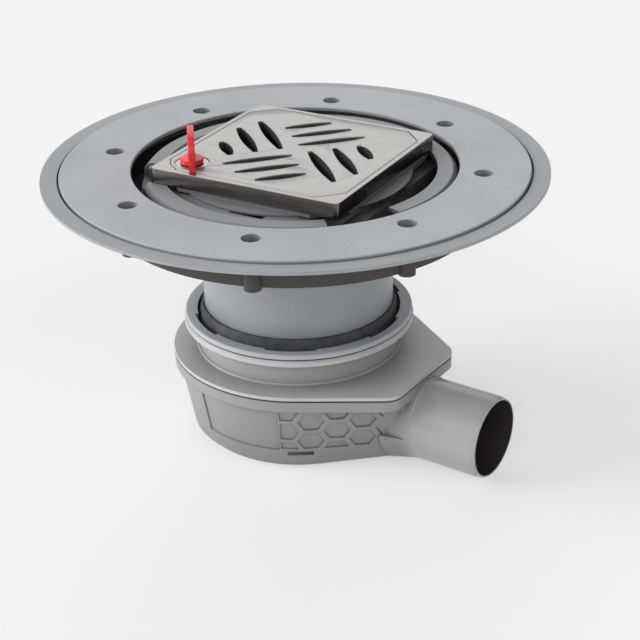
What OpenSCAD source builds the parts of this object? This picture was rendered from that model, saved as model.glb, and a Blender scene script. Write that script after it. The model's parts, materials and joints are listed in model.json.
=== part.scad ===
// Gully trap: a floor drain with a low side-outlet trap body, a flanged riser with a
// loose clamp ring, and a turnable upper section that carries a lockable square grate.
// +X runs along the outlet, +Z is up, and the origin is on the inlet axis at the underside.

/* [Trap body] */
// Radius of the round part of the body rim and deck
body_r = 78; // [76:1:84]
// Distance from the inlet axis to the outlet face of the rim
body_u = 91.5; // [88:0.5:96]
// Half width of the outlet face, measured at the sharp corner
body_w = 34; // [31:0.5:37]
// Radius of the two corners beside the outlet
corner_r = 12; // [8:1:14]
// Height of the body rim above the top line of the outlet
body_over = 1; // [0.6:0.1:3]
// Height of the rim band round the top of the body
rim_h = 6.6; // [4:0.2:9]
// Step from the rim band in to the wall
rim_step = 2.8; // [1.5:0.1:4]
// How far the wall leans in from its top to its foot
wall_lean = 7.5; // [4:0.5:9]
// How much narrower the wall is than the rim on each side of the outlet face
wall_pinch = 6.5; // [5:0.5:8]
// Depth of the relief in the wall
relief_t = 0.8; // [0.3:0.1:0.9]
// Distance between neighbouring columns of the honeycomb
comb_pitch = 15.5; // [14:0.1:18]
// Distance between the pockets of one column
comb_row = 14.35; // [13:0.05:16]
// Height of the lowest pocket middle of the honeycomb
comb_from = 6.7; // [5:0.1:8]
// Height and depth of the turned-in foot of the wall
foot_turn = 4.5; // [3:0.5:6]
// Thickness of the body wall
body_wall = 2.6; // [2:0.1:3.2]
// Thickness of the body floor
floor_t = 2.5; // [2:0.1:2.8]

/* [Outlet] */
// Outer diameter of the outlet spigot
outlet_d = 50; // [46:0.5:50.5]
// Wall of the outlet spigot
outlet_wall = 1.8; // [1.4:0.1:2.5]
// Distance from the inlet axis to the end of the spigot
outlet_reach = 138.5; // [125:0.5:160]
// Gap between the floor plane and the lowest line of the spigot
outlet_rise = 0.5; // [0.3:0.1:0.8]
// Length of the lead-in chamfer at the spigot end
outlet_lead = 4; // [2:0.5:6]
// Radius of the fillet above the root of the spigot
outlet_fillet = 4; // [2:0.5:5]
// Height up to which the wall runs smoothly into the spigot
blend_h = 22; // [16:1:26]

/* [Deck and socket] */
// Thickness of the rubber gasket between body and deck
gasket_t = 1; // [0.8:0.1:1.5]
// How far the gasket stays back from the deck edge
gasket_inset = 1; // [0.5:0.1:2]
// Thickness of the deck plate
deck_t = 2.2; // [1.8:0.1:3]
// Height of the socket rim above the deck
socket_h = 19.8; // [18:0.2:24]
// Thickness of the round edge at the top of the socket
socket_lip_t = 4.6; // [4:0.1:6]
// Gap between the riser and the bore of the socket neck
bore_gap = 1.3; // [1:0.1:1.6]
// Wall of the socket neck
neck_wall = 3.2; // [2.6:0.1:4]
// Width of the socket lip from the bore of the neck
lip_w = 11.3; // [10:0.1:13]
// Width and height of the bead at the foot of the neck
bead = 1.4; // [0.8:0.1:2]
// How far the retaining ring stays back from the socket lip
ring_inset = 0.8; // [0.2:0.1:1.6]
// Width of the castellated retaining ring at a tooth
ring_w = 7.3; // [6.6:0.1:7.6]
// Depth of a notch in the retaining ring
notch_depth = 1.9; // [1:0.1:2.4]
// Thickness of the retaining ring
ring_t = 2.8; // [2:0.1:4]
// Number of notches round the inner edge of the retaining ring
ring_notches = 6; // [6:1:10]

/* [Riser and flange] */
// Outer diameter of the riser tube
riser_d = 116; // [115:0.2:116.6]
// Wall of the riser tube
riser_wall = 3; // [2.4:0.1:3.4]
// Height of the flange rim above the floor plane
flange_z = 169.5; // [164:0.5:180]
// Width of the flange rim outside the clamp ring
rim_w = 11; // [8:0.5:20]
// Thickness of the flange at its rim
flange_t = 1.8; // [1.5:0.1:3]
// How far the pan wall stands outside the circle of screws
pan_out = 0.6; // [0:0.1:2]
// Depth of the pan below the flange rim
pan_depth = 27.2; // [26:0.2:34]
// Thickness of the pan floor, its wall and the clamp seat
pan_wall = 3; // [2.4:0.1:3.4]
// Distance of the screws from the edge of the clamp ring opening
screw_in = 14.5; // [12:0.5:20]
// Number of clamp screws
screw_count = 8; // [6:1:10]
// Outer diameter of each screw boss under the flange
boss_d = 10; // [9:0.5:11]
// Height of the riser end above the seated trap insert
riser_clear = 11; // [10.6:0.2:13]

/* [Clamp ring] */
// Diameter of the clamp ring opening
opening_d = 194; // [190:1:206]
// Width of the clamp ring
clamp_w = 42; // [34:1:50]
// Thickness of the clamp ring
clamp_t = 5; // [4:0.2:6]
// How far the clamp ring stands above the flange rim
clamp_rise = 1.4; // [0.8:0.1:2]
// Gap between the clamp ring and the rim of its recess
clamp_gap = 1.2; // [0.6:0.1:2]
// Diameter of the screw holes in the clamp ring
clamp_hole_d = 11; // [9:0.5:12]

/* [Upper section] */
// Smallest gap between the turnable disc and the clamp ring
disc_gap = 0.3; // [0.3:0.1:2]
// How far the disc lies off the axis, towards the outlet
disc_shift = 3.2; // [1:0.1:3.5]
// Width of the sloping flank round the disc
flank_w = 3.2; // [2:0.1:5]
// Width of the flat band round the disc
band_w = 9; // [8:0.5:11]
// Depth of the seat for the frame carrier below the flange rim
seat_drop = 4.2; // [3.8:0.1:5]
// How far the square box under the disc stands outside the frame
box_out = 3.5; // [2:0.5:4.5]
// Width of the notch in each side of the box
box_notch = 22; // [14:1:30]
// Depth of the box top below the flange rim
box_drop = 10; // [9:0.5:12]
// Wall thickness of the upper section
disc_wall = 2.5; // [2:0.1:2.8]
// Smallest gap between the spout and the riser
spout_gap = 1.8; // [1:0.1:2.4]
// Height of the spout seal
spout_seal_h = 5; // [4:0.5:8]
// Length of the neck below the box
spout_l = 42; // [30:1:50]
// Turn of the square frame from the outlet direction
frame_turn = 5; // [0:1:90]

/* [Frame and grate] */
// Outer side of the square steel frame
frame_w = 123; // [120:0.5:125]
// Height of the frame top above the flange rim
frame_rise = 9; // [8.6:0.1:11]
// Height of the folded skirt of the frame
skirt_h = 9; // [8.4:0.1:10]
// Sheet thickness of the frame
sheet_t = 1.2; // [1:0.1:1.4]
// Width of the frame top between its edge and the grate
frame_border = 3.15; // [2.6:0.05:4]
// Length of the chamfer across each corner of the grate
grate_chamfer = 18; // [14:0.5:22]
// Sheet thickness of the grate
grate_t = 1.5; // [1.2:0.1:1.8]
// How far the round tier of the carrier stands outside the frame side
tier_out = 8; // [6:0.5:8.5]
// Thickness of the grate base
base_t = 4; // [3.4:0.2:5]
// Width of a grate slot at its middle
slot_w = 7; // [5:0.5:8]
// Width of a grate slot at its blunt ends
slot_end = 2.6; // [2:0.1:3.4]
// Distance between the middles of neighbouring slots
slot_pitch = 15.2; // [14:0.1:16]

/* [Lock] */
// Distance of the lock from two sides of the grate
lock_inset = 14.16; // [13.8:0.02:15]
// Outer diameter of the steel ring round the lock
lock_ring_d = 20; // [18:0.5:20]
// Diameter of the lock barrel
barrel_d = 12; // [11:0.5:13]
// Direction of the key wing from the sides of the frame
key_turn = -56; // [-80:1:-10]
// Diameter of the round head of the key
key_head_d = 13.5; // [13:0.5:15.5]
// Width of the key wing
wing_w = 36; // [30:1:38]
// Height of the key wing above the grate
wing_h = 20; // [17:0.5:26]
// Thickness of the key wing
wing_t = 3.9; // [3:0.1:5]

/* [Trap insert] */
// Outer diameter of the dip tube
dip_d = 72; // [66:1:76]
// Gap between the dip tube and the wall of the trap cup
cup_gap = 10; // [8:0.5:11]
// Height of the cup rim above the body floor
cup_h = 40; // [36:1:42]
// Gap between the end of the dip tube and the cup floor
dip_gap = 12; // [8:1:15]
// Wall of the trap cup and the dip tube
insert_wall = 2; // [1.6:0.1:2.4]
// Width of the grip across the insert
grip_w = 8; // [6:0.5:12]
// Height of the grip across the insert
grip_h = 5; // [4:0.5:8]

/* [Fits] */
// Radial gap of pieces that slide or turn in rubber
seal_gap = 0.3; // [0.25:0.05:0.4]
// Gap round pieces that drop into one another
drop_gap = 0.35; // [0.3:0.05:0.5]
// Radial gap of the lock barrel in its boss
turn_gap = 0.3; // [0.2:0.05:0.4]

/* [Hidden] */

$fn = 96;
eps = 0.01;            // overlap of a cut past a face
arc_step = 2;          // angle between the points of a round outline

grey_pp = [0.62, 0.63, 0.64];
grey_warm = [0.58, 0.57, 0.56];
rubber = [0.08, 0.08, 0.09];
steel = [0.78, 0.77, 0.76];
red_pp = [0.85, 0.12, 0.12];

// Heights of the lower half, from the floor plane up
body_h = outlet_rise + outlet_d + body_over;    // top of the body rim
deck_z = body_h + gasket_t + deck_t;            // top of the deck
socket_z = deck_z + socket_h;                   // top of the socket lip
ring_z = socket_z + 0.9;                        // underside of the retaining ring
ring_top = ring_z + ring_t;
spigot_z = outlet_d/2 + outlet_rise;            // axis of the outlet
root_x = body_u - rim_step - 2;                 // foot of the fillet on the outlet face
stop_x = root_x + 8;                            // where the plain wall of the spigot begins
riser_r = riser_d/2;
bore_r = riser_r + bore_gap;                    // bore of the socket neck
neck_r = bore_r + neck_wall;
socket_lip_r = bore_r + lip_w;
ring_r = socket_lip_r - ring_inset;             // outside of the retaining ring
chamber_r = socket_lip_r - 4.4;                 // seal chamber in the socket
lip_z = socket_z - socket_lip_t;                // underside of the socket lip
chamber_z = lip_z + 0.6;                        // floor of the seal chamber
seat_r = riser_r - 4;                           // bore of the shoulder for the insert
seat_z = deck_z + 1.8;                          // top of that shoulder
insert_z = seat_z + 1;                          // underside of the insert flange
insert_top = insert_z + 2;                      // top of the insert flange
riser_end = insert_top + riser_clear;           // lower end of the riser

// Radii of the upper half, from the clamp ring opening in and out
opening_r = opening_d/2;
clamp_r = opening_r + clamp_w;
flange_r = clamp_r + rim_w;
screw_r = opening_r + screw_in;                 // circle of the screws
pan_r = screw_r + pan_out;
disc_r = opening_r - disc_gap - disc_shift;
band_out = disc_r - flank_w;
band_r = band_out - band_w;
spout_r = riser_r - riser_wall - spout_gap - disc_shift;
box_half = frame_w/2 + box_out;
tier_r = frame_w/2 + tier_out;
lip_r = tier_r + 5;                             // round cut on the corners of the carrier lip

// Heights of the upper half, measured from the flange rim
pan_floor = flange_z - pan_depth + pan_wall;    // top of the pan floor
clamp_seat = flange_z + clamp_rise - clamp_t;   // face that carries the clamp ring
seat_top = flange_z - seat_drop;                // seat of the frame carrier
box_top = flange_z - box_drop;
frame_top = flange_z + frame_rise;
skirt_z = frame_top - skirt_h;                  // lower edge of the skirt
tall = 2*pan_depth;                             // a cut that runs clear of every piece
disc_top = skirt_z - 0.3;                       // band of the disc, just under the skirt
seal_z = box_top - spout_l + 6;                 // underside of the spout seal
tier_top = seat_top + 1.3;
grate_under = frame_top - grate_t;              // underside of the grate sheet
ledge_z = grate_under - base_t;                  // ledge under the grate base
inner_half = frame_w/2 - sheet_t;               // inside of the skirt
carrier_half = inner_half - 0.2;                // outside of the carrier wall
grate_half = frame_w/2 - frame_border - drop_gap;
ledge_half = grate_half - 3;                    // opening inside the ledge
pocket_half = grate_half + 0.2;                 // inside of the wall above the ledge
lock_xy = lock_inset - grate_half;              // lock centre on both frame axes
cam_t = 1.6;
cam_z = ledge_z - cam_t - 1.8;                  // underside of the cam
collar_t = 1.6;                                 // collar that holds the barrel in its boss
collar_r = barrel_d/2 + 1.2;
seam_r = lock_ring_d/2 + 2.4;                   // bulge of the grate round the lock
cam_reach = ledge_half + lock_xy + 2.4;         // length of the cam past its pivot

// Points of the body outline: a circle that runs out in two straight flanks to the
// outlet face at u, whose corners have the radius rc.
function flank_angle(r, u, w) = atan2(w, u) + acos(r/norm([u, w]));
function corner_y(r, u, w, rc) =
    let (a = flank_angle(r, u, w)) (r - rc - cos(a)*(u - rc))/sin(a);
function half_outline(r, u, w, rc) =
    let (a = flank_angle(r, u, w), cy = corner_y(r, u, w, rc))
    concat(
        [for (i = [0:6]) let (t = a*i/6) [u - rc + rc*cos(t), cy + rc*sin(t)]],
        [for (t = [a:arc_step:179]) [r*cos(t), r*sin(t)]]);
function outline(r, u, w, rc) =
    let (h = half_outline(r, u, w, rc), n = len(h))
    concat(h, [[-r, 0]], [for (i = [n - 1:-1:0]) [h[i][0], -h[i][1]]]);

// The body outline drawn in by the distance d
module body_shape(d) {
    polygon(outline(body_r - d, body_u - d, body_w - 0.62*d, max(corner_r - 0.4*d, 3)));
}

// The outline of the wall, pinched in beside the outlet
function wall_w(d) = body_w - 0.95*d - wall_pinch;
module wall_shape(d) {
    polygon(outline(body_r - d, body_u - d, wall_w(d), max(corner_r - 0.4*d, 3)));
}

// A closed block between two drawn-in outlines of the wall
module taper(z0, d0, z1, d1) {
    hull() {
        translate([0, 0, z0]) linear_extrude(eps) wall_shape(d0);
        translate([0, 0, z1 - eps]) linear_extrude(eps) wall_shape(d1);
    }
}

module ring(r_out, r_in, z, h) {
    translate([0, 0, z]) difference() {
        cylinder(r = r_out, h = h);
        translate([0, 0, -1]) cylinder(r = r_in, h = h + 2);
    }
}

// A square plate with plain corners, in the frame's own directions
module square_plate(half, z, h) {
    translate([-half, -half, z]) cube([2*half, 2*half, h]);
}

// The grate outline: a square whose corners are cut across
module cut_square(half, chamfer) {
    c = chamfer/sqrt(2);
    polygon([[half - c, half], [half, half - c], [half, c - half], [half - c, -half],
        [c - half, -half], [-half, c - half], [-half, half - c], [c - half, half]]);
}

// A block of the grate outline with its bulge round the lock, drawn out by d
module grate_block(d, z, h) {
    translate([0, 0, z]) {
        linear_extrude(h) cut_square(grate_half + d, grate_chamfer);
        translate([lock_xy, lock_xy, 0]) cylinder(r = seam_r + d, h = h);
    }
}

// ---------- lower half ----------

// Low pan with a rim band, a leaning wall and the outlet spigot
module trap_body() {
    wall_top = body_h - rim_h;
    blend_x = root_x - 10.3;            // where the cone under the spigot starts
    blend_r = 4.3;                      // and how much wider than the spigot it is there
    root_step = outlet_rise - 0.1;      // the spigot is a little thicker behind its stop
    root_bevel = 0.7;
    color(grey_warm) difference() {
        union() {
            translate([0, 0, wall_top]) linear_extrude(rim_h) body_shape(0);
            difference() {
                union() {
                    taper(foot_turn, rim_step + wall_lean, wall_top + eps, rim_step);
                    taper(0, rim_step + wall_lean + foot_turn, foot_turn + eps,
                        rim_step + wall_lean);
                }
                wall_relief();
            }
            translate([0, 0, spigot_z]) rotate([0, 90, 0]) {
                cylinder(r = outlet_d/2 + root_step, h = stop_x - root_bevel);
                translate([0, 0, stop_x - root_bevel])
                    cylinder(r1 = outlet_d/2 + root_step, r2 = outlet_d/2, h = root_bevel);
                cylinder(r = outlet_d/2, h = outlet_reach - outlet_lead);
                translate([0, 0, outlet_reach - outlet_lead])
                    cylinder(r1 = outlet_d/2, r2 = outlet_d/2 - outlet_wall/2, h = outlet_lead);
            }
            // fillet over the root of the spigot
            intersection() {
                translate([0, 0, spigot_z]) rotate([0, 90, 0]) rotate_extrude() polygon(concat(
                    [[outlet_d/2 - outlet_wall/2, root_x - 3*outlet_fillet]],
                    [for (a = [0:11.25:90]) [outlet_d/2 + outlet_fillet*(1 - sin(a)),
                        root_x + outlet_fillet*(1 - cos(a))]],
                    [[outlet_d/2 - outlet_wall/2, root_x + outlet_fillet]]));
                translate([root_x - 3*outlet_fillet, 3 - outlet_d/2, spigot_z])
                    cube([6*outlet_fillet, outlet_d - 6, wall_top - spigot_z]);
            }
            // lower wall run out smoothly on to the spigot
            intersection() {
                translate([blend_x, 0, spigot_z]) rotate([0, 90, 0])
                    cylinder(r1 = outlet_d/2 + blend_r, r2 = outlet_d/2 + root_step/2,
                        h = stop_x - root_bevel - 1 - blend_x);
                translate([blend_x - 1, -outlet_d, 0])
                    cube([stop_x - blend_x, 2*outlet_d, blend_h]);
            }
        }
        taper(floor_t, rim_step + wall_lean + foot_turn + body_wall/2,
            foot_turn + body_wall, rim_step + wall_lean + body_wall);
        taper(foot_turn + body_wall - eps, rim_step + wall_lean + body_wall,
            body_h + 1, rim_step + body_wall - 0.6);
        translate([0, 0, spigot_z]) rotate([0, 90, 0])
            cylinder(r = outlet_d/2 - outlet_wall, h = outlet_reach + 1);
    }
}

// Shallow relief in one side of the wall: a bare field on the round part, honeycomb
// pockets on the flat part and a small slot below them
module wall_relief() {
    wall_top = body_h - rim_h;
    side = -flank_angle(body_r - rim_step, body_u - rim_step, wall_w(rim_step));
    field_z = 14;
    field_from = -108;                  // angles of the ends of the bare field
    field_span = 42;
    comb_z = 15;
    half_a = 8;                         // half width of a pocket at its middle and its edges
    half_b = 4.2;
    half_h = 5.9;
    reach = body_r;
    module pocket() {
        polygon([[-half_a, 0], [-half_b, half_h], [half_b, half_h],
            [half_a, 0], [half_b, -half_h], [-half_b, -half_h]]);
    }
    difference() {
        union() {
            rotate([0, 0, field_from]) translate([0, 0, field_z])
                rotate_extrude(angle = field_span) translate([reach - 25, 0])
                    square([25, wall_top - 2.5 - field_z]);
            // the first column lies turned on the round part and is cut off at its left
            rotate([0, 0, side - 11.7]) rotate([90, 0, 90]) translate([0, 0, reach - 25])
                linear_extrude(30) intersection() {
                    translate([-3.2, comb_z]) square([comb_pitch, body_h - comb_z]);
                    for (j = [0:3]) translate([0, comb_row*(j + 0.5) + comb_from]) pocket();
                }
            rotate([0, 0, side]) rotate([90, 0, 90]) translate([0, 0, reach - 25])
                linear_extrude(30) intersection() {
                    translate([-half_a, comb_z]) square([4*comb_pitch, body_h - comb_z]);
                    for (i = [0:3], j = [0:3])
                        translate([comb_pitch*(i + 0.03), comb_row*(j + 0.5*(i % 2)) + comb_from])
                            // the last column only shows as a groove along its lower edges
                            if (i < 3) pocket();
                            else polygon([[-half_a, 0], [1 - half_a, 0],
                                [1 - half_b, -half_h], [-half_b, -half_h]]);
                }
        }
        taper(foot_turn, rim_step + wall_lean + relief_t, wall_top + eps, rim_step + relief_t);
    }
    rotate([0, 0, side]) translate([body_r - wall_lean - rim_step - 1.6, -13.2, 10.1])
        cube([20, 15.4, 2.8]);
}

module deck_gasket() {
    color(rubber) translate([0, 0, body_h]) linear_extrude(gasket_t) difference() {
        body_shape(gasket_inset);
        body_shape(rim_step + body_wall - 1);
    }
}

// Deck plate with the socket neck, its foot bead, the seal chamber and the insert shoulder
module trap_deck() {
    under = body_h + gasket_t;
    lip_r = socket_lip_r;
    color(grey_warm) difference() {
        union() {
            translate([0, 0, under]) linear_extrude(deck_t) body_shape(0);
            rotate_extrude() polygon([[seat_r, under], [neck_r + bead, under],
                [neck_r + bead, deck_z + bead/2], [neck_r + bead/2, deck_z + bead],
                [neck_r, deck_z + bead], [neck_r, lip_z - 4], [neck_r + 1.2, lip_z - 2.4],
                [lip_r - 1.2, lip_z], [lip_r, lip_z + 1.2], [lip_r, socket_z - 1.2],
                [lip_r - 1.2, socket_z], [seat_r, socket_z]]);
        }
        translate([0, 0, under - 1]) cylinder(r = seat_r, h = socket_h + deck_t + 2);
        translate([0, 0, seat_z]) cylinder(r = bore_r, h = socket_h + 2);
        translate([0, 0, chamber_z]) cylinder(r = chamber_r, h = socket_h);
    }
}

// Black lip seal: a base in the chamber and a lip that leans in to the riser
module lip_seal() {
    lip_in = riser_r + seal_gap;
    base_in = riser_r + 1.6;
    base_out = chamber_r - 0.3;
    base_top = ring_z - 2;
    color(rubber) rotate_extrude() polygon([[base_in, chamber_z], [base_out, chamber_z],
        [base_out, base_top], [base_in + 2.6, base_top], [base_in + 1.6, ring_top - 2.2],
        [lip_in + 1, ring_top + 4.8], [lip_in, ring_top + 4.8], [lip_in, ring_top + 1],
        [base_in - 0.3, base_top + 2]]);
}

// Ring that holds the lip seal down, notched round its inner edge
module retaining_ring() {
    tooth_r = ring_r - ring_w;
    notch_r = tooth_r + notch_depth;
    skirt_out = chamber_r - 0.2;
    notch_span = 28;
    color(grey_pp) difference() {
        union() {
            rotate_extrude() polygon([[tooth_r, ring_z], [ring_r, ring_z],
                [ring_r, ring_top - 0.6], [ring_r - 0.6, ring_top], [tooth_r, ring_top]]);
            ring(skirt_out, skirt_out - 1.8, ring_z - 2, 2 + eps);
        }
        for (i = [0:ring_notches - 1])
            rotate([0, 0, i*360/ring_notches - notch_span/2 - 60]) translate([0, 0, ring_z - 1])
                rotate_extrude(angle = notch_span) square([notch_r, ring_t + 2]);
    }
}

// ---------- trap insert ----------

// Cup that stands on the body floor and holds the water seal
module trap_cup() {
    r = dip_d/2 + cup_gap + insert_wall;
    color(grey_pp) difference() {
        translate([0, 0, floor_t]) cylinder(r = r, h = cup_h);
        translate([0, 0, floor_t + insert_wall]) cylinder(r = r - insert_wall, h = cup_h);
    }
}

// Flat ring under the flange of the insert
module trap_gasket() {
    color(rubber) ring(bore_r - 0.5, seat_r + 0.3, seat_z, 1);
}

// Funnel and dip tube that hang from the shoulder into the cup
module trap_insert() {
    dip_r = dip_d/2;
    dip_z = floor_t + insert_wall + dip_gap;
    rim_r = bore_r - 0.6;
    funnel_r = seat_r - 0.6;
    cone_z = floor_t + cup_h + 3;
    color(grey_pp) rotate_extrude() polygon([[dip_r - insert_wall, dip_z], [dip_r, dip_z],
        [dip_r, cone_z], [funnel_r, insert_z - 0.6], [funnel_r, insert_z], [rim_r, insert_z],
        [rim_r, insert_top], [funnel_r - insert_wall, insert_top],
        [funnel_r - insert_wall, insert_z], [dip_r - insert_wall, cone_z + 0.6]]);
}

// Flat grip across the funnel, standing on its rim
module trap_handle() {
    half = seat_r - 3;
    bar_t = 2;
    foot_w = 6;
    color(grey_pp) translate([0, 0, insert_top]) difference() {
        translate([-half, -grip_w/2, 0]) cube([2*half, grip_w, grip_h]);
        translate([foot_w - half, -grip_w, -1])
            cube([2*(half - foot_w), 2*grip_w, grip_h - bar_t + 1]);
    }
}

// ---------- riser, flange and clamp ring ----------

module riser_flange() {
    rim_r = flange_r;
    seat_lip = clamp_r + clamp_gap;
    tube_in = riser_r - riser_wall;
    seat_under = clamp_seat - pan_wall;
    color(grey_pp) difference() {
        union() {
            rotate_extrude() polygon([[tube_in, riser_end], [riser_r - 1.2, riser_end],
                [riser_r, riser_end + 3], [riser_r, flange_z - pan_depth],
                [pan_r, flange_z - pan_depth], [pan_r, seat_under], [rim_r - 8, seat_under + 1.6],
                [rim_r, flange_z - flange_t], [rim_r, flange_z], [seat_lip, flange_z],
                [seat_lip, clamp_seat], [pan_r - pan_wall - 6, clamp_seat],
                [pan_r - pan_wall - 6, seat_under], [pan_r - pan_wall, seat_under],
                [pan_r - pan_wall, pan_floor], [tube_in, pan_floor]]);
            for (i = [0:screw_count - 1])
                rotate([0, 0, (i + 0.5)*360/screw_count])
                    translate([screw_r, 0, flange_z - pan_depth - 1.4])
                        cylinder(r = boss_d/2, h = pan_depth + 1.4 - 6, $fn = 32);
        }
        for (i = [0:screw_count - 1])
            rotate([0, 0, (i + 0.5)*360/screw_count])
                translate([screw_r, 0, clamp_seat - 16])
                    cylinder(r = 2.5, h = 20, $fn = 32);
    }
}

// Loose ring that clamps the waterproofing on the flange
module clamp_ring() {
    r = clamp_r;
    edge_t = 2.2;                       // thin inner edge
    edge_w = 5;
    color(grey_pp) difference() {
        translate([0, 0, clamp_seat]) rotate_extrude() polygon([
            [opening_r + edge_w, 0], [r, 0], [r, clamp_t - 0.5], [r - 0.5, clamp_t],
            [opening_r + 0.5, clamp_t], [opening_r, clamp_t - 0.5],
            [opening_r, clamp_t - edge_t], [opening_r + edge_w, clamp_t - edge_t]]);
        for (i = [0:screw_count - 1])
            rotate([0, 0, (i + 0.5)*360/screw_count])
                translate([screw_r, 0, clamp_seat - 1])
                    cylinder(r = clamp_hole_d/2, h = clamp_t + 2, $fn = 48);
    }
}

// ---------- upper section ----------

// Turnable disc with a dished seat, the square box under it and the spout. The disc and
// the spout share the shifted axis; the box lines up with the frame.
module upper_section() {
    hub = tier_r - 6;                   // round wall that the carrier is centred on
    seat_out = lip_r + disc_shift + 0.3;    // outer edge of the level seat
    box_foot = pan_floor + 1.5;
    rim_t = 5;                          // width of the box rim
    sunk = 5;                           // depth of the box floor inside its rim
    notch_deep = box_out + 2.4;
    side_x = hub - 4;                   // where the open side begins
    post_w = 5;
    open_from = -46;                    // angles of the two breaks in the disc edge
    flank_from = -151;
    flank_open = 19;
    color(grey_pp) difference() {
        union() {
            difference() {
                union() {
                    translate([disc_shift, 0, 0]) rotate_extrude() polygon([
                        [hub + 1.5, seat_top - disc_wall], [seat_out, seat_top - disc_wall],
                        [band_r + 1, disc_top - disc_wall],
                        [band_out, disc_top - disc_wall],
                        [disc_r - disc_wall, disc_top - flank_w - 2], [disc_r - disc_wall, pan_floor],
                        [disc_r, pan_floor], [disc_r, disc_top - flank_w],
                        [band_out, disc_top], [band_r, disc_top], [seat_out, seat_top],
                        [hub + 1.5, seat_top]]);
                    ring(hub + disc_shift + 2.5, hub - disc_wall, seat_top - disc_wall,
                        disc_wall);
                    ring(hub, hub - disc_wall, box_top - 1, seat_top - box_top + 1);
                }
                // open side, where the box shows beside the disc band
                translate([0, 0, box_top]) intersection() {
                    translate([disc_shift, 0, 0]) cylinder(r = band_r, h = tall);
                    rotate([0, 0, frame_turn]) translate([side_x, -band_r, 0])
                        cube([disc_r, 2*band_r, tall]);
                }
                // break in the band beside the next corner
                translate([disc_shift, 0, box_top]) rotate([0, 0, open_from])
                    rotate_extrude(angle = 28) translate([band_r - 4, 0]) square([disc_r, tall]);
                // break in the flank beside the first corner
                translate([disc_shift, 0, disc_top - 8]) rotate([0, 0, flank_from])
                    rotate_extrude(angle = flank_open) translate([band_out - 4, 0])
                        square([disc_r, tall]);
            }
            intersection() {
                rotate([0, 0, frame_turn]) square_plate(box_half, box_foot, box_top - box_foot);
                translate([disc_shift, 0, 0]) cylinder(r = disc_r - 0.9, h = box_top + tall);
            }
            translate([disc_shift, 0, 0]) {
                // post and ledge in the break of the flank
                rotate([0, 0, flank_from + 2]) translate([band_out - 6, -post_w/2, box_top - 1])
                    cube([5.5, post_w, disc_top - box_top]);
                rotate([0, 0, flank_from]) translate([0, 0, disc_top - 9.5])
                    rotate_extrude(angle = flank_open) translate([band_out - 6, 0])
                        square([flank_w + 5.5, 2]);
                // spout, and the two collars that carry the spout seal
                translate([0, 0, box_top - spout_l]) cylinder(r = spout_r, h = spout_l - 1);
                for (z = [seal_z - 1.8, seal_z + spout_seal_h + 0.2])
                    translate([0, 0, z]) cylinder(r = spout_r + spout_gap - 0.6, h = 1.6);
            }
        }
        // hollow of the box under its platform
        difference() {
            rotate([0, 0, frame_turn]) square_plate(box_half - disc_wall, box_foot - 1,
                box_top - box_foot - sunk - disc_wall);
            translate([disc_shift, 0, box_foot - 2]) cylinder(r = spout_r, h = tall);
        }
        // sunk floor of the box, between its rim and the hub
        rotate([0, 0, frame_turn]) intersection() {
            translate([side_x, rim_t - box_half, box_top - sunk])
                cube([box_half - rim_t - side_x, 2*(box_half - rim_t), tall]);
            cylinder(r = disc_r - 8, h = flange_z);
        }
        // one notch in each side of the box
        for (a = [0:90:270]) rotate([0, 0, a + frame_turn])
            translate([box_half - notch_deep, -3, box_top - 6])
                cube([2*notch_deep, box_notch, tall]);
        // waterway
        translate([disc_shift, 0, box_top - spout_l - 1])
            cylinder(r = spout_r - disc_wall, h = tall + spout_l);
    }
}

// Rubber ring between the riser and the spout. Its bore follows the shifted spout.
module spout_seal() {
    seal_out = riser_r - riser_wall - seal_gap;
    color(rubber) translate([0, 0, seal_z]) difference() {
        cylinder(r = seal_out, h = spout_seal_h);
        translate([disc_shift, 0, -1]) cylinder(r = spout_r + seal_gap, h = spout_seal_h + 2);
    }
}

// ---------- frame and grate ----------

// Plastic carrier: round tier, square lip and the wall inside the steel skirt
module frame_carrier() {
    lip_half = frame_w/2 - 1;
    pocket_z = cam_z - 0.4;             // floor of the cam's pocket and of the square inside
    color(grey_pp) rotate([0, 0, frame_turn]) difference() {
        union() {
            translate([0, 0, seat_top]) cylinder(r = tier_r, h = tier_top - seat_top);
            intersection() {
                square_plate(lip_half, tier_top - eps, skirt_z - tier_top - 0.1 + eps);
                translate([0, 0, seat_top]) cylinder(r = lip_r, h = tall);
            }
            square_plate(carrier_half, skirt_z - 0.1, frame_top - sheet_t - skirt_z + 0.1);
        }
        square_plate(pocket_half, ledge_z, tall);
        square_plate(ledge_half, pocket_z, tall);
        intersection() {
            square_plate(ledge_half, seat_top - 1, tall);
            translate([0, 0, seat_top - 1]) cylinder(r = tier_r - 3, h = tall);
        }
        // flat on the tier above the open side of the disc
        translate([lip_half - 1.5, -frame_w, seat_top - 1])
            cube([frame_w, 2*frame_w, tier_top - seat_top + 1 - eps]);
        // pocket that the cam turns into
        translate([lock_xy - 5, -ledge_half - 3.2, pocket_z]) cube([18, 8, cam_t + 0.8]);
    }
}

// Square steel frame: a folded skirt, a narrow top and two spring tabs on the outlet side
module steel_frame() {
    tab_w = 2.4;
    tab_h = 4.2;
    color(steel) rotate([0, 0, frame_turn]) {
        difference() {
            square_plate(frame_w/2, skirt_z, skirt_h);
            square_plate(inner_half, skirt_z - 1, skirt_h - sheet_t + 1);
            grate_block(drop_gap, frame_top - 5, 10);
        }
        for (place = [-0.22, 0.36])
            translate([frame_w/2 - eps, place*frame_w - tab_w/2, skirt_z + 1.4])
                cube([0.5, tab_w, tab_h]);
    }
}

// A lens-shaped slot with blunt ends, from x = 0 to x = l
module slot(l) {
    rise = (slot_w - slot_end)/2;
    bow = (l*l/4 + rise*rise)/(2*rise);
    intersection() {
        translate([0, -slot_w/2]) square([l, slot_w]);
        translate([l/2, slot_w/2 - bow]) circle(r = bow);
        translate([l/2, bow - slot_w/2]) circle(r = bow);
    }
}

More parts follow.
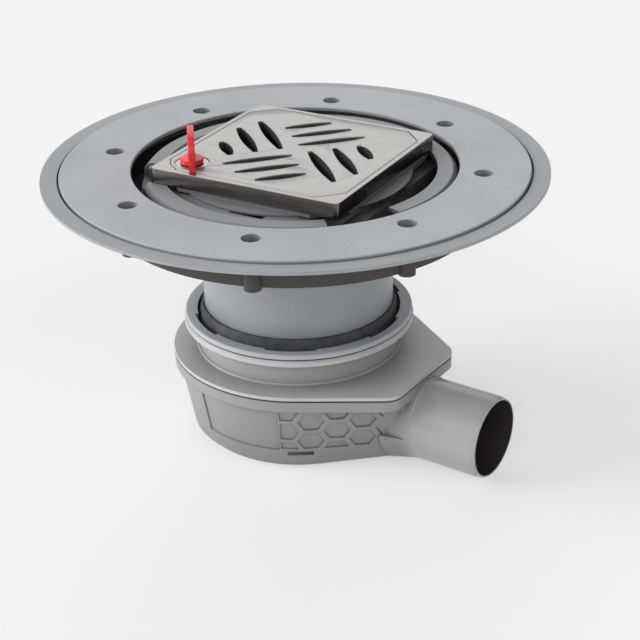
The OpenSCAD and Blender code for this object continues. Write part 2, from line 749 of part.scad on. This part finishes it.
// The twelve slots, three in each quarter, on the diagonals of the grate
module slots() {
    long = [for (share = [0.87, 0.75, 0.405]) share*grate_half];
    short = [for (share = [0.715, 0.655, 0.517]) share*grate_half];
    for (half_turn = [0, 180]) rotate([0, 0, 45 + half_turn]) for (i = [0:2]) {
        place = (i + 0.5)*slot_pitch;
        translate([-place, 4.5]) rotate([0, 0, 90]) slot(long[i]);
        translate([4, place]) slot(short[i]);
    }
}

module grate() {
    color(steel) rotate([0, 0, frame_turn]) difference() {
        grate_block(0, grate_under, grate_t);
        translate([0, 0, grate_under - 1]) {
            linear_extrude(grate_t + 2) slots();
            translate([lock_xy, lock_xy, 0]) cylinder(r = lock_ring_d/2 + 0.15, h = grate_t + 2);
        }
    }
}

// Plastic base under the grate, with the slots of the sheet and the boss of the lock
module grate_base() {
    color(grey_pp) rotate([0, 0, frame_turn]) difference() {
        union() {
            translate([0, 0, ledge_z]) linear_extrude(base_t) difference() {
                cut_square(grate_half - 0.4, grate_chamfer);
                slots();
            }
            translate([lock_xy, lock_xy, cam_z + cam_t + 0.3])
                cylinder(r = barrel_d/2 + turn_gap + 2, h = 4);
        }
        translate([lock_xy, lock_xy, cam_z])
            cylinder(r = barrel_d/2 + turn_gap, h = tall);
        translate([lock_xy, lock_xy, grate_under - collar_t - 0.2])
            cylinder(r = collar_r + turn_gap, h = tall);
    }
}

// ---------- lock ----------

// Everything of the lock is drawn about its own axis at the grate top
module at_lock() {
    rotate([0, 0, frame_turn]) translate([lock_xy, lock_xy, 0]) children();
}

module lock_ring() {
    color(steel) at_lock() ring(lock_ring_d/2, barrel_d/2 + turn_gap, grate_under, grate_t - 0.3);
}

// Barrel with a slot across its top for the key and a square foot for the cam
module lock_barrel() {
    top = frame_top - 0.6;
    color(grey_pp) at_lock() difference() {
        union() {
            translate([0, 0, cam_z + cam_t]) cylinder(r = barrel_d/2, h = top - cam_z - cam_t);
            translate([0, 0, grate_under - collar_t]) cylinder(r = collar_r, h = collar_t);
        }
        rotate([0, 0, key_turn]) translate([-barrel_d, -1.4, top - 4.8])
            cube([2*barrel_d, 2.8, 6]);
        translate([0, 0, cam_z]) cylinder(r = 1.4, h = cam_t + 1.5, $fn = 24);
    }
}

// Tongue that turns under the ledge of the carrier
module lock_cam() {
    color(steel) at_lock() translate([0, 0, cam_z]) difference() {
        union() {
            cylinder(r = 5, h = cam_t, $fn = 48);
            translate([-3, -cam_reach, 0]) cube([6, cam_reach, cam_t]);
        }
        translate([0, 0, -1]) cylinder(r = 1.6, h = cam_t + 2, $fn = 24);
    }
}

module cam_screw() {
    color(steel) at_lock() {
        translate([0, 0, cam_z - 1.6]) cylinder(r = 2.6, h = 1.6, $fn = 32);
        translate([0, 0, cam_z - eps]) cylinder(r = 1.3, h = cam_t + 1.4, $fn = 24);
    }
}

// Red key: a blade in the barrel slot, a round head and an upright wing
module lock_key() {
    head_z = frame_top + 0.1;
    color(red_pp) at_lock() rotate([0, 0, key_turn]) {
        translate([0, 0, head_z]) cylinder(r = key_head_d/2, h = 2.8);
        translate([0.6 - barrel_d/2, -1.2, frame_top - 5.2]) cube([barrel_d - 1.2, 2.4, 5.4]);
        translate([0, wing_t/2, head_z]) rotate([90, 0, 0]) linear_extrude(wing_t)
            polygon([[-wing_w/2, 0], [wing_w/2, 0], [wing_w/2, wing_h - 9],
                [wing_w/2 - 1.5, wing_h - 5], [wing_w/2 - 5, wing_h - 2], [wing_w/2 - 11, wing_h],
                [11 - wing_w/2, wing_h], [5 - wing_w/2, wing_h - 2], [1.5 - wing_w/2, wing_h - 5],
                [-wing_w/2, wing_h - 9]]);
    }
}

trap_body();
deck_gasket();
trap_deck();
lip_seal();
retaining_ring();
trap_cup();
trap_gasket();
trap_insert();
trap_handle();
riser_flange();
clamp_ring();
upper_section();
spout_seal();
frame_carrier();
steel_frame();
grate();
grate_base();
lock_ring();
lock_barrel();
lock_cam();
cam_screw();
lock_key();
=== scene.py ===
"""Looks of the gully trap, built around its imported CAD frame.

Everything is in metres in the frame of the part: +X along the outlet, +Z up, and the
origin on the inlet axis at the underside of the trap body.
"""
import json
import math

import bmesh
import bpy
from mathutils import Matrix, Vector

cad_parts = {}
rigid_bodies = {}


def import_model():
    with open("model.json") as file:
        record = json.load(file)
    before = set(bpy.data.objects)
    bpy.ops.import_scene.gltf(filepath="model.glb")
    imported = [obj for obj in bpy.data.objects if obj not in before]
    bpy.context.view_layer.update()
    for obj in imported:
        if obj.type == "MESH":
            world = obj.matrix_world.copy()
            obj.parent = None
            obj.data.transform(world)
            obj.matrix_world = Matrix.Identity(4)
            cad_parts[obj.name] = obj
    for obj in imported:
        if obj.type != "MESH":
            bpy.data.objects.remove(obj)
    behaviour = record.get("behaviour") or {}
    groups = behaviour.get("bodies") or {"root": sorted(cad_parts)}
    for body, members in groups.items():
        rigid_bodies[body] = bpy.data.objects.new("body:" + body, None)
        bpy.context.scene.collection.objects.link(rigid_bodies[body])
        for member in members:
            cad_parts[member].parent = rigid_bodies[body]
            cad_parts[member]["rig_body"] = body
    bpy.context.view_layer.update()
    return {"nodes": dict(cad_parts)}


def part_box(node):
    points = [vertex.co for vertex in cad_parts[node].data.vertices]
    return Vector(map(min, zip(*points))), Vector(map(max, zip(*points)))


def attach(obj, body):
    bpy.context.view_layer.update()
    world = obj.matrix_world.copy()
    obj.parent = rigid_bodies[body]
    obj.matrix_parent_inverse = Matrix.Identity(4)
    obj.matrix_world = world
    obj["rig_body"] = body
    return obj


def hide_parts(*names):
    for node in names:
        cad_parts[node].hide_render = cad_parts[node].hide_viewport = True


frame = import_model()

MM = 0.001
NODES = frame["nodes"]
FRAME_YAW = math.radians(4.9)       # turn of the brushing and of the frame's edge tests
SHARP = math.radians(40)            # edges folded by more than this can be rounded
SPIGOT_AXIS = 25.5                  # height of the spigot's axis, mm
BORE_FROM, BORE_REACH = 55, 24      # where the bore begins along +X, and its reach, mm
PAN_RING = (100, 118)               # radii of the pan's side, mm
PAN_HEIGHTS = (140, 163.4)          # foot and top of the pan's side, mm
FRAME_SIDE = 59                     # the frame's outer faces and edges lie beyond this, mm
PAINTED_SHADE = "#2e2927"                    # brown-grey painted shade, mixed in where ambient occlusion finds nearby surfaces
SPIGOT_PAINTED_LIGHT = "#c2c4c8"                   # lighter tone mixed into the spigot as painted light


# ---------- small helpers ----------

def srgb(code):
    """A hex colour as linear red, green, blue and alpha."""
    channels = [int(code[i:i + 2], 16) / 255 for i in (1, 3, 5)]
    return [c / 12.92 if c <= 0.04045 else ((c + 0.055) / 1.055) ** 2.4 for c in channels] + [1.0]


def node(tree, kind, settings=(), inputs=(), links=()):
    """Adds one node: settings are its own properties, inputs its socket values, and
    links pairs of (socket of this node, socket it is fed from)."""
    made = tree.nodes.new(kind)
    for name, value in dict(settings).items():
        setattr(made, name, value)
    for name, value in dict(inputs).items():
        made.inputs[name].default_value = value
    for name, source in dict(links).items():
        tree.links.new(source, made.inputs[name])
    return made


def new_material(name, colour, roughness, metallic=0.0, ior=None):
    """A material with its shader's own sockets set; returns it with its tree and shader."""
    material = bpy.data.materials.new(name)
    material.use_nodes = True
    shader = material.node_tree.nodes["Principled BSDF"]
    shader.inputs["Base Color"].default_value = srgb(colour)
    shader.inputs["Roughness"].default_value = roughness
    shader.inputs["Metallic"].default_value = metallic
    if ior is not None:
        shader.inputs["IOR"].default_value = ior
    return material, material.node_tree, shader


def dress(names, material):
    """Gives CAD nodes one material."""
    for name in names:
        for slot in NODES[name].material_slots:
            slot.material = material


def only(piece):
    """Makes one piece the only selected and the active one."""
    bpy.ops.object.select_all(action="DESELECT")
    piece.select_set(True)
    bpy.context.view_layer.objects.active = piece


def worked_copy(name, slot, *materials, join=True):
    """A piece of its own over a CAD node: its mesh copied, with its loose triangles merged
    and, where asked, its flat faces joined."""
    piece = bpy.data.objects.new(name + "_finished", NODES[name].data.copy())
    bpy.context.scene.collection.objects.link(piece)
    piece.data.materials.clear()
    for material in materials:
        piece.data.materials.append(material)
    only(piece)
    bpy.ops.object.mode_set(mode="EDIT")
    bpy.ops.mesh.select_all(action="SELECT")
    bpy.ops.mesh.remove_doubles(threshold=0.002 * MM)
    bpy.ops.mesh.customdata_custom_splitnormals_clear()
    if join:
        bpy.ops.mesh.dissolve_limited(angle_limit=math.radians(0.6))
    bpy.ops.object.mode_set(mode="OBJECT")
    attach(piece, NODES[name]["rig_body"])
    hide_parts(name)
    return piece


def round_edges(piece, width_mm, steps, wanted, kept_apart=True):
    """Rounds the edges that the test `wanted` picks by their middle and direction. Edges
    that lie close together may share their room, unless they are kept apart."""
    only(piece)
    bpy.ops.object.mode_set(mode="EDIT")
    bpy.ops.mesh.select_mode(type="EDGE")
    bpy.ops.mesh.select_all(action="DESELECT")
    mesh = bmesh.from_edit_mesh(piece.data)
    for edge in mesh.edges:
        start, end = (vertex.co / MM for vertex in edge.verts)
        sharp = len(edge.link_faces) == 2 and edge.calc_face_angle() > SHARP
        edge.select_set(sharp and wanted((start + end) / 2, (end - start).normalized()))
    bmesh.update_edit_mesh(piece.data)
    bpy.ops.mesh.bevel(offset=width_mm * MM, segments=steps, affect="EDGES",
                       clamp_overlap=kept_apart)
    bpy.ops.object.mode_set(mode="OBJECT")


def smooth(piece, angle_deg):
    """Shades a piece smooth but for the edges folded by more than the angle."""
    only(piece)
    bpy.ops.object.shade_smooth_by_angle(angle=math.radians(angle_deg))


# ---------- materials ----------

def moulded(name, light, dark, speck, grain_mm, bump_mm, roughness, painted_shade_amount=0.75, edge_mm=0.5):
    """Moulded polypropylene from a spark-eroded mould: a fine matt grain breaks up the
    highlights, the shade drifts slowly where the melt flowed, painted shade darkens the colour
    towards a brown-grey where ambient occlusion finds nearby surfaces, and the edges are
    rounded by the mould, so they catch a thin line of light."""
    material, tree, shader = new_material(name, light, roughness, ior=1.49)
    where = node(tree, "ShaderNodeTexCoord").outputs["Object"]
    flow = node(tree, "ShaderNodeTexNoise", inputs={"Scale": 24.0, "Detail": 3.0},
                links={"Vector": where})
    drift = node(tree, "ShaderNodeMapRange", inputs={"From Min": 0.35, "From Max": 0.65},
                 links={"Value": flow.outputs["Fac"]})
    shade = node(tree, "ShaderNodeMix", {"data_type": "RGBA"}, {"A": srgb(light), "B": srgb(dark)},
                 {"Factor": drift.outputs["Result"]})
    grain = node(tree, "ShaderNodeTexNoise",
                 inputs={"Scale": 1 / (grain_mm * MM), "Detail": 2.0, "Roughness": 0.6},
                 links={"Vector": where})
    specks = node(tree, "ShaderNodeMapRange",
                  inputs={"From Min": 0.3, "From Max": 0.7, "To Max": 0.35},
                  links={"Value": grain.outputs["Fac"]})
    mixed = node(tree, "ShaderNodeMix", {"data_type": "RGBA"}, {"B": srgb(speck)},
                 {"Factor": specks.outputs["Result"], "A": shade.outputs["Result"]})
    # painted shade: the colour is darkened towards a brown-grey where ambient occlusion finds
    # surfaces within 60 mm
    open_air = node(tree, "ShaderNodeAmbientOcclusion", {"samples": 6}, {"Distance": 60 * MM})
    painted_shade_mask = node(tree, "ShaderNodeMapRange",
                   inputs={"From Min": 0.92, "From Max": 0.2, "To Max": painted_shade_amount},
                   links={"Value": open_air.outputs["AO"]})
    with_painted_shade = node(tree, "ShaderNodeMix", {"data_type": "RGBA"}, {"B": srgb(PAINTED_SHADE)},
                 {"Factor": painted_shade_mask.outputs["Result"], "A": mixed.outputs["Result"]})
    tree.links.new(with_painted_shade.outputs["Result"], shader.inputs["Base Color"])
    rough = node(tree, "ShaderNodeMapRange",
                 inputs={"To Min": roughness - 0.06, "To Max": roughness + 0.06},
                 links={"Value": grain.outputs["Fac"]})
    tree.links.new(rough.outputs["Result"], shader.inputs["Roughness"])
    edge = node(tree, "ShaderNodeBevel", {"samples": 4}, {"Radius": edge_mm * MM})
    bump = node(tree, "ShaderNodeBump", inputs={"Strength": 0.5, "Distance": bump_mm * MM},
                links={"Height": grain.outputs["Fac"], "Normal": edge.outputs["Normal"]})
    tree.links.new(bump.outputs["Normal"], shader.inputs["Normal"])
    return material


def polished_spigot(material, from_mm, to_mm, matt, gloss):
    """Lets the gloss of a moulded material rise along +X: the spigot is drawn on a polished
    core and shines, the body beside it stays matt. Its colour also turns lighter along +X
    as painted light."""
    tree = material.node_tree
    where = node(tree, "ShaderNodeTexCoord").outputs["Object"]
    along = node(tree, "ShaderNodeSeparateXYZ", links={"Vector": where})
    rough = node(tree, "ShaderNodeMapRange", {"interpolation_type": "SMOOTHSTEP"},
                 {"From Min": from_mm * MM, "From Max": to_mm * MM,
                  "To Min": matt, "To Max": gloss},
                 {"Value": along.outputs["X"]})
    shader = tree.nodes["Principled BSDF"]
    tree.links.new(rough.outputs["Result"], shader.inputs["Roughness"])
    # painted light: the spigot's colour is lightened along +X towards a lighter tone
    painted_light_mask = node(tree, "ShaderNodeMapRange", {"interpolation_type": "SMOOTHSTEP"},
                 {"From Min": from_mm * MM, "From Max": to_mm * MM, "To Max": 0.3},
                 {"Value": along.outputs["X"]})
    moulded_tone = shader.inputs["Base Color"].links[0].from_socket
    with_painted_light = node(tree, "ShaderNodeMix", {"data_type": "RGBA"}, {"B": srgb(SPIGOT_PAINTED_LIGHT)},
                      {"Factor": painted_light_mask.outputs["Result"], "A": moulded_tone})
    tree.links.new(with_painted_light.outputs["Result"], shader.inputs["Base Color"])


def rubber(name, black, dusty):
    """EPDM rubber: nearly black and dull, with a faint grey bloom of dust."""
    material, tree, shader = new_material(name, black, 0.62, ior=1.5)
    where = node(tree, "ShaderNodeTexCoord").outputs["Object"]
    bloom = node(tree, "ShaderNodeTexNoise", inputs={"Scale": 160.0, "Detail": 4.0},
                 links={"Vector": where})
    dust = node(tree, "ShaderNodeMapRange", inputs={"From Min": 0.35, "From Max": 0.75},
                links={"Value": bloom.outputs["Fac"]})
    shade = node(tree, "ShaderNodeMix", {"data_type": "RGBA"},
                 {"A": srgb(black), "B": srgb(dusty)}, {"Factor": dust.outputs["Result"]})
    tree.links.new(shade.outputs["Result"], shader.inputs["Base Color"])
    bump = node(tree, "ShaderNodeBump", inputs={"Strength": 0.25, "Distance": 0.1 * MM},
                links={"Height": bloom.outputs["Fac"]})
    tree.links.new(bump.outputs["Normal"], shader.inputs["Normal"])
    return material


def brushed_steel(name, bright, dull, roughness, scratch_mm, edge_mm):
    """Stainless sheet with a belt-brushed finish: fine parallel scratches along the frame
    spread the highlights across it, over a slow cloudiness from the belt. The scratch
    sizes are (along, across, up) in mm."""
    material, tree, shader = new_material(name, bright, roughness, metallic=1.0)
    where = node(tree, "ShaderNodeTexCoord").outputs["Object"]
    turned = node(tree, "ShaderNodeMapping", inputs={"Rotation": (0, 0, -FRAME_YAW)},
                  links={"Vector": where})
    drawn = node(tree, "ShaderNodeMapping",
                 inputs={"Scale": tuple(1 / (size * MM) for size in scratch_mm)},
                 links={"Vector": turned.outputs["Vector"]})
    scratch = node(tree, "ShaderNodeTexNoise",
                   inputs={"Scale": 1.0, "Detail": 3.0, "Roughness": 0.6},
                   links={"Vector": drawn.outputs["Vector"]})
    cloud = node(tree, "ShaderNodeTexNoise", inputs={"Scale": 28.0, "Detail": 2.0},
                 links={"Vector": where})
    streak = node(tree, "ShaderNodeMapRange", inputs={"From Min": 0.3, "From Max": 0.7},
                  links={"Value": scratch.outputs["Fac"]})
    tone = node(tree, "ShaderNodeMix", {"data_type": "RGBA"}, {"A": srgb(bright), "B": srgb(dull)},
                {"Factor": streak.outputs["Result"]})
    tree.links.new(tone.outputs["Result"], shader.inputs["Base Color"])
    rough = node(tree, "ShaderNodeMapRange",
                 inputs={"To Min": roughness - 0.02, "To Max": roughness + 0.03},
                 links={"Value": cloud.outputs["Fac"]})
    tree.links.new(rough.outputs["Result"], shader.inputs["Roughness"])
    edge = node(tree, "ShaderNodeBevel", {"samples": 4}, {"Radius": edge_mm * MM})
    bump = node(tree, "ShaderNodeBump", inputs={"Strength": 0.3, "Distance": 0.02 * MM},
                links={"Height": scratch.outputs["Fac"], "Normal": edge.outputs["Normal"]})
    tree.links.new(bump.outputs["Normal"], shader.inputs["Normal"])
    return material


def red_plastic():
    """Red acetal key: smooth from a polished mould, with a soft gloss, a little light
    passing through its thin wing, and a slightly darker tone where the melt flowed."""
    material, tree, shader = new_material("red_acetal", "#e8303a", 0.3, ior=1.48)
    where = node(tree, "ShaderNodeTexCoord").outputs["Object"]
    flow = node(tree, "ShaderNodeTexNoise", inputs={"Scale": 120.0, "Detail": 2.0},
                links={"Vector": where})
    drift = node(tree, "ShaderNodeMapRange", inputs={"From Min": 0.3, "From Max": 0.7},
                 links={"Value": flow.outputs["Fac"]})
    shade = node(tree, "ShaderNodeMix", {"data_type": "RGBA"},
                 {"A": srgb("#e2252e"), "B": srgb("#f03c44")}, {"Factor": drift.outputs["Result"]})
    tree.links.new(shade.outputs["Result"], shader.inputs["Base Color"])
    shader.inputs["Subsurface Weight"].default_value = 0.08
    shader.inputs["Subsurface Scale"].default_value = 4 * MM
    return material


PP_RING = moulded("grained_polypropylene_ring", "#bcc0c5", "#b5b9be", "#9da2a7", 1.1, 0.09, 0.48,
                  0.6)
PP_INNER = moulded("grained_polypropylene_inner", "#9a9ea3", "#94989d", "#868b90", 0.9, 0.04, 0.5)
PP_PAN = moulded("smooth_polypropylene_pan", "#a3a7ab", "#9ea2a6", "#92969b", 1.4, 0.015, 0.42)
PP_BODY = moulded("grained_polypropylene_body", "#a09fa0", "#9a999a", "#8c8b8c", 0.8, 0.04, 0.46,
                  0.5, 0.8)
PP_DECK = moulded("grained_polypropylene_deck", "#c8c8cb", "#c2c2c5", "#b1b1b4", 0.8, 0.04, 0.4,
                  0.7)
# painted shade: a dark brown copy of the polypropylene for the pan's shaded outer side
PP_PAINTED_SHADE_UNDER = moulded("painted_shade_polypropylene_underside", "#4c4744", "#45403d", "#3a3633", 0.7, 0.05,
                   0.6)
# painted shade: a dark brown copy of the polypropylene for the spigot's bore
PP_PAINTED_SHADE_BORE = moulded("painted_shade_polypropylene_bore", "#403b38", "#393431", "#2f2b29", 0.7, 0.05,
                    0.5)
PP_DARK = moulded("grained_polypropylene_base", "#6a6662", "#5d5a56", "#4b4845", 0.8, 0.04, 0.5)
polished_spigot(PP_BODY, 86, 98, 0.46, 0.24)
RUBBER = rubber("epdm_rubber_black", "#0f1011", "#222426")
# painted light: a lighter grey copy of the black rubber, with its dust bloom, for the lit seals
RUBBER_PAINTED_LIGHT = rubber("epdm_rubber_dust_and_painted_light", "#2f3236", "#4a4e53")
STEEL_TOP = brushed_steel("brushed_stainless_face", "#b9b7b5", "#a7a4a1", 0.32, (26, 0.45, 1.6),
                          0.4)
# painted shade: a darker, brownish copy of the brushed steel for the frame's sides
STEEL_PAINTED_SHADE_SIDE = brushed_steel("brushed_stainless_skirt_painted_shade", "#968f8a", "#6e6763", 0.28, (26, 26, 0.5),
                           0.5)
STEEL_PLAIN = brushed_steel("turned_stainless", "#c4c2c0", "#b2b0ae", 0.33, (3, 3, 0.4), 0.3)
RED = red_plastic()

dress(["clamp_ring", "retaining_ring"], PP_RING)
dress(["upper_section", "frame_carrier"], PP_INNER)
dress(["trap_cup", "trap_insert", "trap_handle", "lock_barrel"], PP_PAN)
dress(["trap_deck"], PP_DECK)
dress(["grate_base"], PP_DARK)
dress(["deck_gasket", "trap_gasket"], RUBBER)
dress(["lip_seal", "spout_seal"], RUBBER_PAINTED_LIGHT)
dress(["lock_cam", "cam_screw"], STEEL_PLAIN)


# ---------- finished pieces over the plain solids ----------

def body_shell():
    """The trap body with its round walls shaded smooth, its large faces kept even, and the
    spigot's bore left rough, with a dark material as painted shade."""
    piece = worked_copy("trap_body", "pp_body", PP_BODY, PP_PAINTED_SHADE_BORE)
    for face in piece.data.polygons:
        place = face.center / MM
        height = place.z - SPIGOT_AXIS
        inward = face.normal.y * place.y + face.normal.z * height < -1
        # painted shade: inward faces of the spigot's bore get the dark material
        bore = place.x > BORE_FROM and math.hypot(place.y, height) < BORE_REACH and inward
        face.material_index = 1 if bore else 0
    smooth(piece, 24)
    bpy.ops.object.modifier_add(type="WEIGHTED_NORMAL")
    piece.modifiers[-1].keep_sharp = True
    bpy.ops.object.modifier_apply(modifier=piece.modifiers[-1].name)


def flange_and_pan():
    """The riser flange, whose pan is left rough on the outside below the sheet's seat and
    given a dark material there as painted shade.
    """
    piece = worked_copy("riser_flange", "pp_riser", PP_PAN, PP_PAINTED_SHADE_UNDER, join=False)
    for face in piece.data.polygons:
        place = face.center / MM
        pan_side = (PAN_RING[0] < math.hypot(place.x, place.y) < PAN_RING[1]
                    and PAN_HEIGHTS[0] < place.z < PAN_HEIGHTS[1])
        # painted shade: the pan's outer side, where it does not face up, gets the dark material
        face.material_index = 1 if pan_side and face.normal.z < 0.5 else 0
    smooth(piece, 30)


def pressed_frame():
    """The steel frame, folded from sheet: rounded corners and top edge, a bright face, and
    sides given a darker copy of the steel as painted shade."""
    piece = worked_copy("steel_frame", "steel", STEEL_TOP, STEEL_PAINTED_SHADE_SIDE)
    low, high = (Vector(corner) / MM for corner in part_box("steel_frame"))
    turn = Matrix.Rotation(-FRAME_YAW, 3, "Z")
    middle = (low + high) / 2

    def corner(place, along):
        flat = turn @ (place - middle)
        return abs(along.z) > 0.95 and min(abs(flat.x), abs(flat.y)) > FRAME_SIDE

    def top_edge(place, along):
        flat = turn @ (place - middle)
        return place.z > high.z - 0.1 and max(abs(flat.x), abs(flat.y)) > FRAME_SIDE

    round_edges(piece, 2.8, 6, corner, kept_apart=False)
    round_edges(piece, 0.9, 3, top_edge)
    # painted shade: faces that do not face up get the darker steel
    for face in piece.data.polygons:
        face.material_index = 0 if face.normal.z > 0.5 else 1
    smooth(piece, 35)


def pressed_grate():
    """The slotted sheet: the punched slots and its outline drawn over a little."""
    piece = worked_copy("grate", "steel", STEEL_TOP)
    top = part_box("grate")[1][2] / MM
    round_edges(piece, 0.3, 2, lambda place, along: place.z > top - 0.05)
    smooth(piece, 35)


def moulded_key():
    """The red key with the soft edges of a moulding."""
    piece = worked_copy("lock_key", "key_red", RED)
    round_edges(piece, 0.45, 3, lambda place, along: True)
    smooth(piece, 40)


def turned_lock_ring():
    """The lock's collar with a rounded rim."""
    piece = worked_copy("lock_ring", "steel", STEEL_PLAIN)
    round_edges(piece, 0.3, 3, lambda place, along: True)
    smooth(piece, 40)


body_shell()
flange_and_pan()
pressed_frame()
pressed_grate()
moulded_key()
turned_lock_ring()


# ---------- floor, light and camera ----------

SKY = 0.12                          # even light from all round
FLOOR_GLOW = 0.46                   # light that the pale floor gives back
LAMPS = {                           # direction to the lamp, its width in degrees, strength
    "soft_left": ((-0.825, -0.565, 0.65), 45, 0.45),
    "soft_low": ((-0.825, -0.565, 0.3), 40, 2.3),
    "soft_top": ((-0.3, 0.3, 1.0), 60, 0.2),
    "soft_front": ((0.2, -0.8, 0.55), 50, 0.72),
    "soft_right": ((0.9, -0.2, 0.6), 60, 0.68),
    "soft_back": ((-0.45, 0.66, 0.45), 50, 0.62),
}


def studio():
    """A pale floor that runs out of sight, under a pale sky and wide soft lamps."""
    bpy.ops.object.select_all(action="DESELECT")
    bpy.ops.mesh.primitive_plane_add(size=12, location=(0, 0, 0))
    floor = bpy.context.object
    floor.name = "floor"
    paint, tree, shader = new_material("pale_floor", "#c0c0c0", 0.9)
    where = node(tree, "ShaderNodeTexCoord").outputs["Object"]
    grain = node(tree, "ShaderNodeTexNoise", inputs={"Scale": 400.0, "Detail": 2.0},
                 links={"Vector": where})
    shade = node(tree, "ShaderNodeMix", {"data_type": "RGBA"},
                 {"A": srgb("#bebebe"), "B": srgb("#c2c2c2")}, {"Factor": grain.outputs["Fac"]})
    tree.links.new(shade.outputs["Result"], shader.inputs["Base Color"])
    shader.inputs["Emission Color"].default_value = srgb("#ffffff")
    shader.inputs["Emission Strength"].default_value = FLOOR_GLOW
    floor.data.materials.append(paint)

    world = bpy.data.worlds.new("studio")
    bpy.context.scene.world = world
    world.use_nodes = True
    world.node_tree.nodes["Background"].inputs["Color"].default_value = srgb("#ffffff")
    world.node_tree.nodes["Background"].inputs["Strength"].default_value = SKY

    for name, (direction, width, strength) in LAMPS.items():
        lamp = bpy.data.lights.new(name, "SUN")
        lamp.angle = math.radians(width)
        lamp.energy = strength
        holder = bpy.data.objects.new(name, lamp)
        holder.rotation_euler = (-Vector(direction)).to_track_quat("-Z", "Y").to_euler()
        bpy.context.scene.collection.objects.link(holder)


def camera():
    """Looks down on the part from the front right, level but for a slight roll."""
    scene = bpy.context.scene
    data = bpy.data.cameras.new("camera")
    data.sensor_width = 36
    data.lens = 89.93
    data.dof.use_dof = False
    holder = bpy.data.objects.new("camera", data)
    scene.collection.objects.link(holder)
    forward = Vector((-0.5035, 0.7353, -0.4539)).normalized()
    right = forward.cross(Vector((0, 0, 1))).normalized()
    up = right.cross(forward)
    roll = math.radians(1.048)
    across = right * math.cos(roll) - up * math.sin(roll)
    upward = right * math.sin(roll) + up * math.cos(roll)
    turn = Matrix((across, upward, -forward)).transposed()
    holder.matrix_world = Matrix.Translation((0.5108, -0.7232, 0.5167)) @ turn.to_4x4()
    scene.camera = holder


studio()
camera()
bpy.context.scene.view_settings.view_transform = "Standard"
